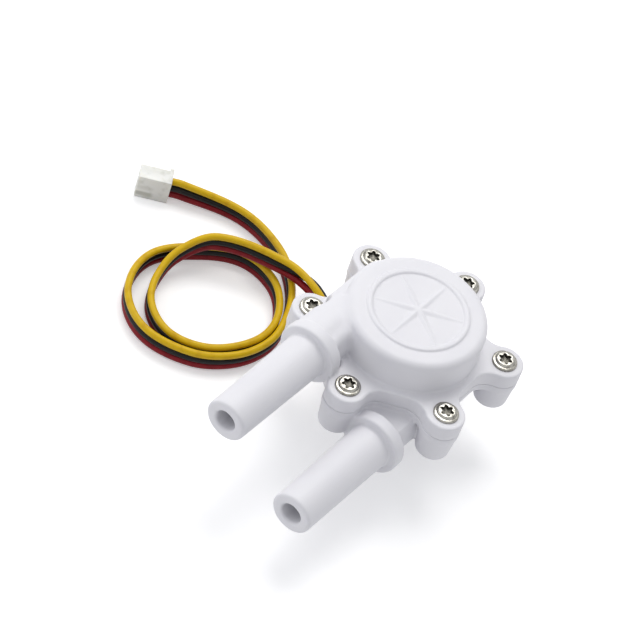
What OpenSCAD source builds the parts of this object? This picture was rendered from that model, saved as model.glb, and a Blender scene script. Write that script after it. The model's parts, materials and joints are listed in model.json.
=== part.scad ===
// Small water flow sensor: a screwed two-part housing with two hose nozzles, a rotor
// with a ring magnet on a steel shaft, and a sensor board potted in a pocket below.
// Origin: on the rotor axis, in the plane that the sensor rests on. +Z is up, and the
// nozzles point along -Y.

/* [Housing] */
// Outer radius of the round chamber wall
shell_r = 12.2; // [12.1:0.1:12.5]
// Inner radius of the rotor chamber
chamber_r = 9.7; // [9.5:0.1:9.9]
// Height of the sensor pocket under the chamber
pocket_h = 6.3; // [6.1:0.1:7.0]
// Outer radius of the sensor pocket
pocket_r = 8.0; // [7.8:0.1:9.0]
// Wall of the sensor pocket
pocket_wall = 1.4; // [1.0:0.1:1.6]
// Thickness of the chamber floor
floor_t = 1.7; // [1.6:0.1:2.0]
// Depth of the chamber inside the body
cup_depth = 8.1; // [7.8:0.1:8.6]
// Thickness of the body's flange
body_flange_t = 1.5; // [1.2:0.1:2.0]
// Thickness of the cover's flange
cover_flange_t = 3.05; // [2.85:0.05:3.3]
// Height of the dome above the cover's flange
dome_h = 6.55; // [6.4:0.05:7.4]
// Thickness of the dome's roof
roof_t = 1.8; // [1.6:0.1:2.2]
// Rounding of the dome's top edge
dome_round = 1.3; // [1.0:0.1:1.7]
// How far the flange stands past the chamber wall
flange_rim = 1.3; // [1.1:0.1:1.4]

/* [Screws] */
// Distance from the rotor axis to each cover screw
screw_ring_r = 16.8; // [16.5:0.1:17.4]
// Radius of each screw ear
ear_r = 3.4; // [3.4:0.05:3.6]
// Radius of the hollow blend between an ear and the flange
ear_blend_r = 3.6; // [3.2:0.1:3.8]
// Height of each screw post under the body's flange
post_h = 4.75; // [4.25:0.1:5.25]
// Radius of each screw post at its foot
post_foot_r = 3.0; // [2.8:0.05:3.2]
// Radius of the screw's shank
shank_r = 1.5; // [1.4:0.05:1.6]
// Length of the screw under its head
shank_l = 7.2; // [6.0:0.1:7.6]
// Radius of the screw's head
head_r = 2.2; // [2.05:0.05:2.4]
// Height of the screw's head
head_h = 0.85; // [0.8:0.05:1.1]

/* [Nozzles] */
// Distance of the inlet nozzle from the rotor axis, along -X
inlet_x = 8.6; // [8.3:0.1:8.8]
// Distance of the outlet nozzle from the rotor axis, along +X
outlet_x = 7.8; // [7.4:0.1:8.2]
// Height of the inlet above the cover's flange
inlet_rise = 0.65; // [0.45:0.05:0.95]
// Height of the outlet above the chamber floor
outlet_rise = 3.6; // [3.4:0.1:3.8]
// Distance of the nozzle ends from the rotor axis
nozzle_reach = 38.8; // [36:0.2:42]
// Distance of the collars' front faces from the rotor axis
collar_reach = 17.65; // [17.2:0.05:18.2]
// Thickness of each collar
collar_t = 2.3; // [1.8:0.1:2.4]
// Radius of each collar
collar_r = 5.5; // [5.3:0.1:5.6]
// Radius of a nozzle at its root
nozzle_root_r = 4.0; // [3.9:0.05:4.3]
// Radius of a nozzle at its end
nozzle_tip_r = 3.8; // [3.6:0.05:3.9]
// Radius of the water passage
bore_r = 1.9; // [1.7:0.05:2.0]
// Radius of the narrower jets that open into the rotor chamber
jet_r = 1.5; // [1.2:0.05:1.6]
// Radius of the ducts behind the collars
duct_r = 4.7; // [4.5:0.05:4.9]

/* [Rotor] */
// Radius of the steel shaft
shaft_r = 1.0; // [0.8:0.05:1.2]
// Gap between the tips of the blades and the chamber's wall
blade_gap = 0.9; // [0.7:0.1:1.3]
// Thickness of a blade
blade_t = 0.9; // [0.7:0.1:1.2]
// Number of blades
blade_count = 6; // [5:1:8]
// Outer radius of the ring magnet
magnet_r = 6.4; // [6.0:0.1:6.6]
// Height of the ring magnet
magnet_h = 2.6; // [2.2:0.1:3.0]
// Radial clearance of the rotor on its shaft
run_clear = 0.05; // [0.03:0.01:0.08]

/* [Seal] */
// Radius of the seal ring's centre line
seal_ring_r = 10.95; // [10.8:0.05:11.1]
// Thickness of the seal ring
seal_t = 1.0; // [0.9:0.05:1.1]

/* [Sensor] */
// Thickness of the sensor board
board_t = 0.8; // [0.6:0.1:0.8]
// Gap between the board's corners and the pocket's wall
board_gap = 0.4; // [0.3:0.05:0.5]
// Width of the sensor board
board_w = 7.0; // [6.6:0.1:7.4]

/* [Lead] */
// Radius of each wire
wire_r = 0.65; // [0.55:0.01:0.65]
// Width of the plug, across its narrow side
plug_w = 3.2; // [3.0:0.1:3.6]
// Height of the plug along its row of contacts
plug_h = 5.2; // [5.1:0.1:5.6]
// Length of the plug
plug_l = 6.0; // [5.6:0.1:6.6]

/* [Hidden] */
$fn = 96;

// Small amount by which a cut runs past the face that it opens
cut = 0.5;
// Gap between pieces that are pushed into one another
seat = 0.02;

// Heights
shell_round = 1.0;
pocket_round = 0.3;
floor_z = pocket_h + floor_t;
parting_z = floor_z + cup_depth;
flange_z = parting_z + cover_flange_t;
top_z = flange_z + dome_h;
ceiling_z = top_z - roof_t;
inlet_z = flange_z + inlet_rise;
outlet_z = floor_z + outlet_rise;
web_z = parting_z - body_flange_t;
post_foot_z = web_z - post_h;

// Nozzles and ducts
collar_back_y = -(collar_reach - collar_t);
tip_round = 0.5;
tip_flare = 0.25;
collar_chamfer = 0.35;
jet_end_y = -12.5;
inlet_duct_lean = 0.45;
outlet_duct_lean = 0.8;
duct_lift = 0.2;
inlet_duct_end_y = 4.0;
outlet_duct_end_y = -4.0;
outlet_duct_drop = 1.1;
outlet_duct_top_z = parting_z - outlet_duct_drop;
// Shoulder that fills the inlet duct out towards the dome
shoulder_r = 1.5;
shoulder_in = 2.2;
shoulder_rise = 2.8;

// Relief on the dome: a low ring and a star of six tapered ribs
relief_h = 0.3;
relief_ring_in = 7.8;
relief_ring_out = 8.9;
star_reach = 7.3;
star_root_half = 0.65;
star_tip_half = 0.2;

// Screw ears, posts and screws
screw_count = 6;
screw_first = 30;
ear_overlap = 1.0;
post_round = 0.7;
hole_clear = 0.1;
head_gap = 0.2;
head_rim_h = 0.4;
head_rim_round = 0.15;
head_crown_in = 0.45;
head_crown_r = head_r - head_crown_in;
head_crown_slope = 0.25;
head_crown_round = 0.25;
lobe_ring_r = 0.85;
lobe_r = 0.35;
lobe_depth = 0.7;

// Seal groove, in the body
seal_squeeze = 0.2;
groove_d = seal_t - seal_squeeze;
groove_gap = 0.05;
groove_half = seal_t / 2 + groove_gap;

// Shaft, its two bosses and the thrust washers
boss_wall = 1.3;
boss_r = shaft_r + boss_wall;
boss_h = 1.6;
shaft_sink = 0.7;
washer_t = 0.4;
end_play = 0.1;
lower_boss_z = floor_z + boss_h;
upper_boss_z = ceiling_z - boss_h;

// Rotor
hub_wall = 1.6;
hub_r = shaft_r + hub_wall;
rotor_z0 = lower_boss_z + washer_t + end_play;
rotor_z1 = upper_boss_z - washer_t - end_play;
magnet_web = 0.6;
magnet_bore_r = hub_r + magnet_web;
magnet_lift = 0.4;
magnet_z = rotor_z0 + magnet_lift;
disc_t = 0.8;
skirt_t = 0.9;
disc_z = magnet_z + magnet_h;
skirt_r = magnet_r + skirt_t;
blade_r = chamber_r - blade_gap;
blade_drop = 0.8;
blade_top_z = rotor_z1 - blade_drop;
blade_bow = 0.9;
blade_curve_r = blade_r * blade_bow;
blade_sink = 0.3;
blade_root_r = hub_r - blade_sink;

// Sensor pocket
pocket_in_r = pocket_r - pocket_wall;
potting_back = 0.1;
// Wires lie on edge, one above the other, with the red one at the bottom
wire_pitch = 2 * wire_r + seat;
wire_table_gap = 0.05;
wire_pocket_gap = 0.25;
wire_z = [for (i = [0:2]) wire_r + wire_table_gap + i * wire_pitch];
pocket_wire_z = [for (i = [0:2]) wire_r + wire_pocket_gap + i * wire_pitch];
// How far each wire is aside of the lead where it has left the pocket, red first
wire_spread = [0.5, 1.4, 0];
wire_in = 0.5;
wire_y = board_w / 2 - wire_in;
wire_free = 1.5;
notch_gap = 0.1;
notch_in = 1.0;
notch_half = wire_r + notch_gap;
notch_top_z = pocket_wire_z[2] + wire_r + notch_gap;
board_z = notch_top_z + notch_gap;
board_x = -0.1;
board_reach = pocket_in_r - board_gap;
board_l = 2 * (sqrt(board_reach * board_reach - board_w * board_w / 4) + board_x);
chip = [2.9, 1.4, 0.95];
chip_lift = 0.05;
chip_leg = [0.4, 0.5, 0.3];
chip_margin = 0.1;
chip_x = board_x + board_l / 2 - chip[1] / 2 - chip_leg[1] - chip_margin;
chip_leg_y = 0.95;
small_part = [1.6, 0.8, 0.5];
capacitor_at = [-2.4, -2.4];
resistor_at = [-2.4, -0.6];
// Where each wire's insulation ends over the board, red first
tail_share = [0.03, -0.17, -0.37];
tail_x = [for (share = tail_share) board_x + share * board_l];
tail_r = 0.3;
tail_rise = 0.5;
solder_r = 0.48;
solder_rim = 0.08;
solder_top_r = tail_r + solder_rim;
solder_h = 0.4;

// Plug, standing on its narrow side
plug_at = [-55.3, 7.0];
plug_turn = 213;
contact_pitch = 1.6;
cavity = 1.36;
contact_z = [for (i = [-1:1]) plug_h / 2 + i * contact_pitch];
wire_grip = 1.2;
wire_lead_in = 2.0;
contact = [3.4, 1.0, 0.9];
window = [2.8, 0.9];
window_x = 1.8;
lip = [0.7, 0.6, 1.6];

// Route of the lead over the table: x, y and how far the wires are lifted there
lift = 4.1;
route = [
    [-21.5, 5.5, 3.9], [-28.5, 6.0, lift], [-40.0, 1.0, lift], [-43.5, -5.0, 1.8],
    [-43.0, -11.0, 0], [-39.5, -16.5, 0], [-33.5, -19.0, 0], [-27.5, -17.0, 0],
    [-23.5, -12.0, 0], [-22.0, -6.0, 0], [-24.0, 0, 0], [-29.0, 4.5, 0],
    [-36.0, 5.0, 0], [-42.0, 0.5, 0], [-47.0, -8.0, 0], [-44.5, -17.0, 0],
    [-37.0, -21.5, 0], [-28.0, -19.5, 0], [-22.5, -14.0, 0], [-20.5, -7.0, 0],
    [-22.0, -0.5, 0], [-26.0, 6.0, 0], [-33.0, 11.0, 0], [-43.0, 12.5, 0]
];
wire_sides = 8;

// Rounded disc or post: a profile turned about Z, from z0 to z1, with round edges
module turned(r0, r1, z0, z1, low_round, high_round) {
    rotate_extrude() {
        polygon([[0, z0], [r0 - low_round, z0], [r0, z0 + low_round],
                 [r1, z1 - high_round], [r1 - high_round, z1], [0, z1]]);
        if (low_round > 0)
            intersection() {
                translate([r0 - low_round, z0 + low_round]) circle(low_round, $fn = 48);
                translate([0, z0]) square([r0, low_round]);
            }
        if (high_round > 0)
            intersection() {
                translate([r1 - high_round, z1 - high_round]) circle(high_round, $fn = 48);
                translate([0, z1 - high_round]) square([r1, high_round]);
            }
    }
}

module at_screws() {
    for (i = [0:screw_count - 1])
        rotate([0, 0, screw_first + i * 360 / screw_count])
            translate([screw_ring_r, 0, 0]) children();
}

// Where a blend circle touches both the round flange and an ear
function blend_at(rim, ear) =
    let (a = rim + ear_blend_r, b = ear + ear_blend_r, d = screw_ring_r,
         turn = acos((d * d + a * a - b * b) / (2 * d * a)))
    [a * cos(turn), a * sin(turn)];

// Outline of both flanges: a disc with six ears, blended by hollow curves
module flange_outline() {
    at = blend_at(shell_r + flange_rim, ear_r);
    circle(shell_r + flange_rim);
    for (i = [0:screw_count - 1])
        rotate([0, 0, screw_first + i * 360 / screw_count]) {
            translate([screw_ring_r, 0]) intersection() {
                circle(ear_r);
                translate([-ear_overlap, -2 * ear_r]) square(4 * ear_r);
            }
            difference() {
                polygon([[0, 0], at, [screw_ring_r, 0], [at[0], -at[1]]]);
                translate(at) circle(ear_blend_r);
                translate([at[0], -at[1]]) circle(ear_blend_r);
            }
        }
}

// A pipe stub that points along -Y, with its collar
module nozzle_solid(x, z) {
    translate([x, 0, z]) rotate([90, 0, 0]) {
        turned(nozzle_root_r, nozzle_tip_r, collar_reach - cut, nozzle_reach, 0, tip_round);
        turned(collar_r, collar_r, -collar_back_y, collar_reach, 0, collar_chamfer);
    }
}

// The water passage of a nozzle and the jet that opens into the chamber's side
module nozzle_bore(x, z) {
    translate([x, 0, z]) rotate([90, 0, 0]) {
        cylinder(r = jet_r, h = cut - jet_end_y);
        translate([0, 0, -jet_end_y]) cylinder(r = bore_r, h = nozzle_reach + jet_end_y + cut);
        translate([0, 0, nozzle_reach - tip_flare])
            cylinder(r1 = bore_r, r2 = bore_r + 2 * tip_flare, h = 2 * tip_flare);
    }
}

// The duct that joins a collar to the chamber's side
module duct(x, z, end_y) {
    translate([x, 0, z + duct_lift]) {
        translate([0, end_y, 0]) sphere(duct_r);
        translate([0, end_y, 0]) rotate([90, 0, 0])
            cylinder(r = duct_r, h = end_y - collar_back_y + cut);
    }
}

// Six tapered ribs that meet at the middle of the dome
module star() {
    for (i = [0:screw_count - 1])
        rotate([0, 0, screw_first + i * 360 / screw_count])
            polygon([[0, -star_root_half], [star_reach, -star_tip_half],
                     [star_reach, star_tip_half], [0, star_root_half]]);
}

module cover() {
    color("whitesmoke")
    difference() {
        union() {
            turned(shell_r, shell_r, parting_z, top_z, 0, dome_round);
            translate([0, 0, parting_z]) linear_extrude(cover_flange_t) flange_outline();
            difference() {
                union() {
                    duct(-inlet_x - inlet_duct_lean, inlet_z, inlet_duct_end_y);
                    translate([shoulder_in - inlet_x, 0, inlet_z + shoulder_rise])
                        rotate([90, 0, 0]) cylinder(r = shoulder_r, h = cut - collar_back_y);
                }
                translate([-inlet_x - 2 * duct_r, collar_back_y - cut, parting_z - 2 * duct_r])
                    cube([4 * duct_r, 2 * duct_r - collar_back_y + inlet_duct_end_y, 2 * duct_r]);
                at_screws() translate([0, 0, parting_z - cut])
                    cylinder(r = head_r + head_gap, h = dome_h + cover_flange_t);
            }
            nozzle_solid(-inlet_x, inlet_z);
            translate([0, 0, top_z - cut]) {
                linear_extrude(cut + relief_h)
                    difference() {
                        circle(relief_ring_out);
                        circle(relief_ring_in);
                    }
                linear_extrude(cut + relief_h) star();
            }
        }
        difference() {
            translate([0, 0, parting_z - cut])
                cylinder(r = chamber_r, h = ceiling_z - parting_z + cut);
            translate([0, 0, upper_boss_z]) cylinder(r = boss_r, h = boss_h + cut);
        }
        nozzle_bore(-inlet_x, inlet_z);
        translate([0, 0, upper_boss_z - cut])
            cylinder(r = shaft_r + seat, h = boss_h + shaft_sink + cut);
        at_screws() translate([0, 0, parting_z - cut])
            cylinder(r = shank_r + hole_clear, h = cover_flange_t + 2 * cut);
    }
}

module body() {
    color("whitesmoke")
    difference() {
        union() {
            turned(shell_r, shell_r, pocket_h, parting_z, shell_round, 0);
            turned(pocket_r, pocket_r, 0, pocket_h + cut, pocket_round, 0);
            translate([0, 0, web_z]) linear_extrude(body_flange_t) flange_outline();
            at_screws() turned(post_foot_r, ear_r, post_foot_z, parting_z, post_round, 0);
            intersection() {
                duct(outlet_x - outlet_duct_lean, outlet_z, outlet_duct_end_y);
                translate([0, collar_back_y - cut, 0])
                    cube([4 * duct_r, -collar_back_y + 2 * duct_r, outlet_duct_top_z]);
            }
            nozzle_solid(outlet_x, outlet_z);
        }
        difference() {
            translate([0, 0, floor_z]) cylinder(r = chamber_r, h = cup_depth + cut);
            translate([0, 0, floor_z - cut]) cylinder(r = boss_r, h = boss_h + cut);
        }
        nozzle_bore(outlet_x, outlet_z);
        translate([0, 0, parting_z - groove_d]) difference() {
            cylinder(r = seal_ring_r + groove_half, h = groove_d + cut);
            translate([0, 0, -cut])
                cylinder(r = seal_ring_r - groove_half, h = groove_d + 3 * cut);
        }
        translate([0, 0, lower_boss_z - boss_h - shaft_sink])
            cylinder(r = shaft_r + seat, h = boss_h + shaft_sink + cut);
        translate([0, 0, -cut]) cylinder(r = pocket_in_r, h = pocket_h + cut);
        translate([-pocket_r - cut, wire_y - notch_half, -cut])
            cube([pocket_wall + 2 * cut + notch_in, 2 * notch_half, notch_top_z + cut]);
        at_screws() translate([0, 0, flange_z - shank_l - hole_clear])
            cylinder(r = shank_r + seat, h = shank_l);
    }
}

// Six-lobed recess of a screw
module lobes() {
    circle(lobe_ring_r);
    for (i = [0:5]) rotate([0, 0, 30 + i * 60]) translate([lobe_ring_r, 0]) circle(lobe_r);
}

module cover_screws() {
    color("silver")
    at_screws() difference() {
        union() {
            translate([0, 0, flange_z - shank_l]) cylinder(r = shank_r, h = shank_l);
            turned(head_r, head_r, flange_z, flange_z + head_rim_h, 0, head_rim_round);
            turned(head_crown_r + head_crown_slope, head_crown_r,
                   flange_z, flange_z + head_h, 0, head_crown_round);
        }
        translate([0, 0, flange_z + head_h - lobe_depth]) linear_extrude(lobe_depth + cut) lobes();
    }
}

module seal_ring() {
    color("dimgray")
    rotate_extrude() intersection() {
        translate([seal_ring_r, parting_z - groove_d / 2]) circle(seal_t / 2);
        translate([seal_ring_r - seal_t, parting_z - groove_d]) square([2 * seal_t, groove_d]);
    }
}

module shaft() {
    color("gainsboro")
    translate([0, 0, lower_boss_z - boss_h - shaft_sink])
        cylinder(r = shaft_r, h = upper_boss_z - lower_boss_z + 2 * (boss_h + shaft_sink));
}

module thrust_washer(z) {
    translate([0, 0, z]) difference() {
        cylinder(r = boss_r, h = washer_t);
        translate([0, 0, -cut]) cylinder(r = shaft_r + seat, h = washer_t + 2 * cut);
    }
}

module lower_thrust_washer() {
    color("burlywood") thrust_washer(lower_boss_z);
}

module upper_thrust_washer() {
    color("burlywood") thrust_washer(upper_boss_z - washer_t);
}

// One blade's outline: a hollow-backed arc from the hub to the tip
module blade_outline() {
    bow = [blade_r / 2, -sqrt(blade_curve_r * blade_curve_r - blade_r * blade_r / 4)];
    intersection() {
        difference() {
            translate(bow) circle(blade_curve_r + blade_t / 2);
            translate(bow) circle(blade_curve_r - blade_t / 2);
        }
        difference() {
            circle(blade_r);
            circle(blade_root_r);
        }
        translate([blade_root_r / 2, -blade_t]) square([blade_r, blade_r]);
    }
}

module impeller() {
    color("white")
    difference() {
        union() {
            translate([0, 0, rotor_z0]) cylinder(r = hub_r, h = rotor_z1 - rotor_z0);
            translate([0, 0, magnet_z]) cylinder(r = magnet_bore_r - seat, h = magnet_h + disc_t);
            translate([0, 0, disc_z]) cylinder(r = skirt_r, h = disc_t);
            translate([0, 0, magnet_z]) difference() {
                cylinder(r = skirt_r, h = magnet_h + disc_t);
                translate([0, 0, -cut]) cylinder(r = magnet_r + seat, h = magnet_h + cut);
            }
            translate([0, 0, disc_z]) linear_extrude(blade_top_z - disc_z)
                for (i = [0:blade_count - 1]) rotate([0, 0, i * 360 / blade_count]) blade_outline();
        }
        translate([0, 0, rotor_z0 - cut])
            cylinder(r = shaft_r + run_clear, h = rotor_z1 - rotor_z0 + 2 * cut);
    }
}

module ring_magnet() {
    color("dimgray")
    translate([0, 0, magnet_z]) difference() {
        cylinder(r = magnet_r, h = magnet_h);
        translate([0, 0, -cut]) cylinder(r = magnet_bore_r, h = magnet_h + 2 * cut);
    }
}

module sensor_board() {
    color("seagreen")
    difference() {
        translate([board_x - board_l / 2, -board_w / 2, board_z]) cube([board_l, board_w, board_t]);
        for (x = tail_x) translate([x, wire_y, board_z - cut])
            cylinder(r = tail_r + seat, h = board_t + 2 * cut, $fn = 32);
    }
}

module hall_chip() {
    color("black")
    translate([chip_x - chip[1] / 2, -chip[0] / 2, board_z + board_t + chip_lift])
        cube([chip[1], chip[0], chip[2]]);
}

module hall_chip_legs() {
    color("silver")
    for (at = [[chip_x + chip[1] / 2, 0],
               [chip_x - chip[1] / 2 - chip_leg[1], chip_leg_y],
               [chip_x - chip[1] / 2 - chip_leg[1], -chip_leg_y]])
        translate([at[0], at[1] - chip_leg[0] / 2, board_z + board_t])
            cube([chip_leg[1], chip_leg[0], chip_leg[2]]);
}

module filter_capacitor() {
    color("tan")
    translate([capacitor_at[0], capacitor_at[1], board_z + board_t]) cube(small_part);
}

module pull_up_resistor() {
    color("black")
    translate([resistor_at[0], resistor_at[1], board_z + board_t]) cube(small_part);
}

// Bared end of each wire, bent up through the board
module wire_tails() {
    color("peru")
    for (i = [0:2]) translate([tail_x[i], wire_y, pocket_wire_z[i] - tail_r])
        cylinder(r = tail_r, h = board_z + board_t + tail_rise - pocket_wire_z[i] + tail_r,
                 $fn = 32);
}

module solder_joints() {
    color("silver")
    for (i = [0:2]) translate([tail_x[i], wire_y, board_z + board_t]) difference() {
        cylinder(r1 = solder_r, r2 = solder_top_r, h = solder_h, $fn = 32);
        translate([0, 0, -cut]) cylinder(r = tail_r + seat, h = solder_h + 2 * cut, $fn = 32);
    }
}

module potting() {
    color("darkslategray")
    difference() {
        union() {
            cylinder(r = pocket_in_r - seat, h = pocket_h - seat);
            intersection() {
                cylinder(r = pocket_r - potting_back, h = pocket_h);
                translate([-pocket_r, wire_y - notch_half + seat, 0])
                    cube([pocket_wall + notch_in, 2 * (notch_half - seat), notch_top_z - seat]);
            }
        }
        translate([board_x - board_l / 2 - seat, -board_w / 2 - seat, board_z - seat])
            cube([board_l + 2 * seat, board_w + 2 * seat, pocket_h]);
        for (i = [0:2]) {
            translate([-pocket_r - cut, wire_y, pocket_wire_z[i]]) rotate([0, 90, 0])
                cylinder(r = wire_r + seat / 2, h = pocket_r + cut + tail_x[i] - tail_r, $fn = 32);
            translate([tail_x[i], wire_y, pocket_wire_z[i] - tail_r - seat])
                cylinder(r = tail_r + seat, h = pocket_h, $fn = 32);
        }
    }
}

// Unit vector to the left of the route at point i
function left_of(points, i) =
    let (a = points[max(i - 1, 0)], b = points[min(i + 1, len(points) - 1)],
         d = [b[0] - a[0], b[1] - a[1]] / norm([b[0] - a[0], b[1] - a[1]]))
    [-d[1], d[0], 0];

// A tube swept along the points, with upright rings so that stacked wires keep their gap
module tube(points, r, sides) {
    count = len(points);
    rings = [for (i = [0:count - 1]) for (k = [0:sides - 1])
        points[i] + r * cos(k * 360 / sides) * left_of(points, i)
        + [0, 0, r * sin(k * 360 / sides)]];
    walls = [for (i = [0:count - 2]) for (k = [0:sides - 1])
        [i * sides + k, i * sides + (k + 1) % sides,
         (i + 1) * sides + (k + 1) % sides, (i + 1) * sides + k]];
    first = [for (k = [0:sides - 1]) sides - 1 - k];
    last = [for (k = [0:sides - 1]) (count - 1) * sides + k];
    polyhedron(rings, concat([first], walls, [last]), convexity = 10);
}

// Points of one wire: straight out of the pocket, along the route, into the plug
function wire_points(i) =
    let (along = [cos(plug_turn), sin(plug_turn)])
    concat(
        [[tail_x[i] - tail_r, wire_y, pocket_wire_z[i]],
         [-pocket_r - wire_free, wire_y, pocket_wire_z[i]]],
        [for (k = [0:len(route) - 1])
            [route[k][0], route[k][1] + (k == 0 ? wire_spread[i] : 0), wire_z[i] + route[k][2]]],
        [[plug_at[0] - wire_lead_in * along[0], plug_at[1] - wire_lead_in * along[1],
          contact_z[i]],
         [plug_at[0] + wire_grip * along[0], plug_at[1] + wire_grip * along[1], contact_z[i]]]
    );

module red_wire() {
    color("firebrick") tube(wire_points(0), wire_r, wire_sides);
}

module black_wire() {
    color("black") tube(wire_points(1), wire_r, wire_sides);
}

module yellow_wire() {
    color("goldenrod") tube(wire_points(2), wire_r, wire_sides);
}

module in_plug() {
    translate([plug_at[0], plug_at[1], 0]) rotate([0, 0, plug_turn]) children();
}

module plug_housing() {
    color("ivory")
    in_plug() difference() {
        union() {
            translate([0, -plug_w / 2, 0]) cube([plug_l, plug_w, plug_h]);
            translate([0, -plug_w / 2 - lip[1], plug_h - lip[2]])
                cube([lip[0], lip[1] + cut, lip[2]]);
        }
        for (z = contact_z) {
            translate([-cut, -cavity / 2, z - cavity / 2]) cube([plug_l + 2 * cut, cavity, cavity]);
            translate([window_x, -plug_w, z - window[1] / 2]) cube([window[0], plug_w, window[1]]);
        }
    }
}

module plug_contacts() {
    color("silver")
    in_plug() for (z = contact_z)
        translate([wire_grip, -contact[1] / 2, z - cavity / 2]) cube(contact);
}

cover();
body();
cover_screws();
seal_ring();
shaft();
lower_thrust_washer();
upper_thrust_washer();
impeller();
ring_magnet();
sensor_board();
hall_chip();
hall_chip_legs();
filter_capacitor();
pull_up_resistor();
wire_tails();
solder_joints();
potting();
yellow_wire();
black_wire();
red_wire();
plug_housing();
plug_contacts();
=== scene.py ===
"""Looks of a small water flow sensor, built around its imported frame.

Sizes are in millimetres and become metres where a mesh is finished. The sensor stands on the
plane z = 0 with its rotor axis on Z, and its two hose nozzles point along -Y.
"""

from __future__ import annotations

import json
import logging
import math
from dataclasses import dataclass
from enum import Enum
from typing import Callable, Union

import bmesh
import bpy
from mathutils import Matrix, Vector

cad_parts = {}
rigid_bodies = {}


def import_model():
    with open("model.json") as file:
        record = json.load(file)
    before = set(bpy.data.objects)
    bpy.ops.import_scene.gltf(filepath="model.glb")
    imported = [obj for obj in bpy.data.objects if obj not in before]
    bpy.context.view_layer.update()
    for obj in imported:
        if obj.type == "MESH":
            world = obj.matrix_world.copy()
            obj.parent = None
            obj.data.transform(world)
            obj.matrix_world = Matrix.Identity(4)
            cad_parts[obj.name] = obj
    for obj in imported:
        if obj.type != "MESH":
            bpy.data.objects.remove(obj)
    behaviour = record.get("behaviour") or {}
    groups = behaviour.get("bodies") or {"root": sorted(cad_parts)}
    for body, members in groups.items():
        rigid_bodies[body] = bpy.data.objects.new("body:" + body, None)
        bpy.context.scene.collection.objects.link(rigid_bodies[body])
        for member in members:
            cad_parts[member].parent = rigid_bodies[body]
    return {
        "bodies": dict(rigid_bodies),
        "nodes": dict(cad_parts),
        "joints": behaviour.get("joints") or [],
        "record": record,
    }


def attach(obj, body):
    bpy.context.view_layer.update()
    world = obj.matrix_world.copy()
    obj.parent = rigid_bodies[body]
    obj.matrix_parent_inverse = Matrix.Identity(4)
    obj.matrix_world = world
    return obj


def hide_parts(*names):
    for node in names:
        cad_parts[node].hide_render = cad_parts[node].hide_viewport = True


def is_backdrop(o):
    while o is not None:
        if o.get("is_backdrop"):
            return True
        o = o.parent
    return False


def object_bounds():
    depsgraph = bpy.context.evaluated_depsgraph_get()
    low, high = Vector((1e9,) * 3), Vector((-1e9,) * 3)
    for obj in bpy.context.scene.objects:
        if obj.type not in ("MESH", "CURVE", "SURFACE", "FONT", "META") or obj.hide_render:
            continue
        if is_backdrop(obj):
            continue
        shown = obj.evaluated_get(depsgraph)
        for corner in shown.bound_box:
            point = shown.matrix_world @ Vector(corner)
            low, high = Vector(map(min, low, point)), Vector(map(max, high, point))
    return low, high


MM = 0.001
LOG = logging.getLogger("flow_sensor")
Colour = tuple[float, float, float]
Point = tuple[float, float, float]
Span = tuple[float, float]


class Body(Enum):
    """The rigid bodies of the frame."""

    HOUSING = "housing"
    ROTOR = "rotor"


class Value:
    """A number in a shader, on which Python arithmetic adds Math nodes."""

    def __init__(self, paint: "Paint", socket: bpy.types.NodeSocket) -> None:
        """Wraps a socket.

        Args:
            paint: The material that the socket belongs to.
            socket: The output that gives the number.
        """
        self.paint = paint
        self.socket = socket

    def _math(self, operation: str, first: "Operand", second: "Operand") -> "Value":
        """Adds one Math node.

        Args:
            operation: The node's operation.
            first: The first number.
            second: The second number.

        Returns:
            The node's result.
        """
        made = self.paint.node("ShaderNodeMath", {"operation": operation}, {0: first, 1: second})
        return Value(self.paint, made.outputs[0])

    def __add__(self, other: "Operand") -> "Value":
        """Adds a number or another value."""
        return self._math("ADD", self, other)

    def __radd__(self, other: float) -> "Value":
        """Adds this value to a number."""
        return self._math("ADD", other, self)

    def __sub__(self, other: "Operand") -> "Value":
        """Takes away a number or another value."""
        return self._math("SUBTRACT", self, other)

    def __rsub__(self, other: float) -> "Value":
        """Takes this value away from a number."""
        return self._math("SUBTRACT", other, self)

    def __mul__(self, other: "Operand") -> "Value":
        """Multiplies by a number or another value."""
        return self._math("MULTIPLY", self, other)

    def __rmul__(self, other: float) -> "Value":
        """Multiplies a number by this value."""
        return self._math("MULTIPLY", other, self)

    def band(self, low: float, high: float) -> "Value":
        """Rises smoothly from 0 at low to 1 at high.

        Args:
            low: Where the result starts to rise.
            high: Where the result has risen to 1.

        Returns:
            The smooth step.
        """
        made = self.paint.node(
            "ShaderNodeMapRange",
            {"interpolation_type": "SMOOTHSTEP"},
            {0: self, 1: low, 2: high, 3: 0.0, 4: 1.0},
        )
        return Value(self.paint, made.outputs[0])

    def window(self, rise: Span, fall: Span) -> "Value":
        """Rises smoothly from 0 to 1 and falls back to 0.

        Args:
            rise: Where the result starts to rise, and where it has risen to 1.
            fall: Where it starts to fall, and where it has fallen to 0.

        Returns:
            The smooth window.
        """
        return self.band(*rise) * (1 - self.band(*fall))


Operand = Union[Value, float]


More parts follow.
